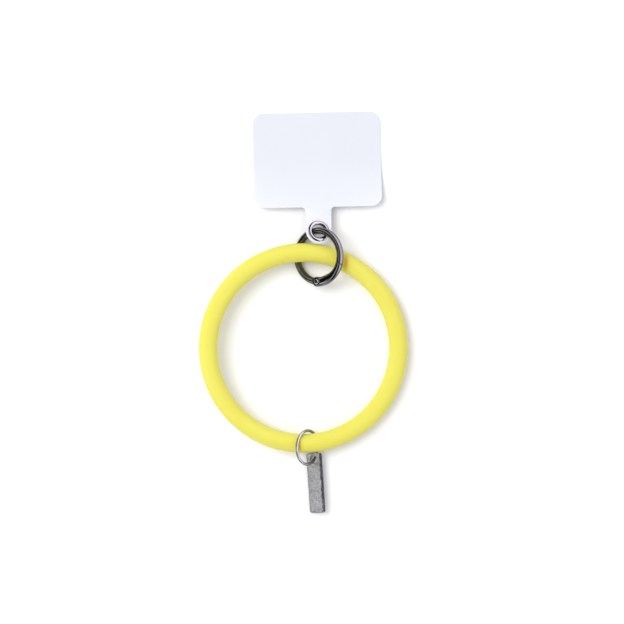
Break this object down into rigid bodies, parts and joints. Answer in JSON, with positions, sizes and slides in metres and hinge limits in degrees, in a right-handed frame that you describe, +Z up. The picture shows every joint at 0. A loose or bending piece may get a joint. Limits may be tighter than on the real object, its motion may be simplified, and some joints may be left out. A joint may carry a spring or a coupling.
{
  "type": "phone wrist strap",
  "caption": "Soft round wrist bangle with a sprung gate ring that links an eyeleted phone tab, and a jump ring that carries a bare metal tag.",
  "frame": {"origin": "centre of the strap's outline, on the table that it lies on", "axes": "+Z up from the table, +Y from the tag towards the phone tab, +X to the right seen from above"},
  "size_m": [0.0894, 0.1728, 0.015],
  "materials": {
    "silicone": "matte silicone",
    "gunmetal": "glossy dark plating",
    "pin_steel": "bright rivet",
    "spring_steel": "drawn wire",
    "eyelet_nickel": "glossy plating",
    "ring_nickel": "glossy plating",
    "satin_metal": "satin",
    "clear_sheet": "frosted translucent sheet"
  },
  "bodies": {
    "bangle": {"bangle": "silicone"},
    "spring_ring": {"ring_body": "gunmetal"},
    "gate": {"ring_gate": "gunmetal", "gate_hinge_pin": "pin_steel", "gate_spring": "spring_steel"},
    "tab": {"phone_tab": "clear_sheet", "eyelet": "eyelet_nickel", "eyelet_washer": "eyelet_nickel"},
    "jump_ring": {"jump_ring": "ring_nickel"},
    "tag": {"tag": "satin_metal"}
  },
  "joints": [
    {"name": "ring_swing", "type": "hinge", "parent": "bangle", "child": "spring_ring", "pos_m": [0.00661, 0.02385, 0.0067], "axis": [0.9838, -0.1657, -0.0682], "range_deg": [-20, 60]},
    {"name": "gate_hinge", "type": "hinge", "parent": "spring_ring", "child": "gate", "pos_m": [0.00648, 0.01292, 0.00741], "axis": [-0.5514, -0.0076, 0.8342], "range_deg": [0, 15], "stiffness_Nm_per_rad": 0.02, "springref_deg": -17.19, "deforming": ["gate_spring"]},
    {"name": "tab_swing", "type": "hinge", "parent": "spring_ring", "child": "tab", "pos_m": [0.00649, 0.03447, 0.00761], "axis": [0.8342, -0.0054, 0.5514], "range_deg": [-60, 75]},
    {"name": "jump_ring_swing", "type": "hinge", "parent": "bangle", "child": "jump_ring", "pos_m": [0.00171, -0.05599, 0.00629], "axis": [0.9968, 0.0427, -0.0671], "range_deg": [-80, 80]},
    {"name": "tag_swing", "type": "hinge", "parent": "jump_ring", "child": "tag", "pos_m": [0.00468, -0.06342, 0.00254], "axis": [0.473, 0.66, -0.5837], "range_deg": [-100, 100]}
  ]
}
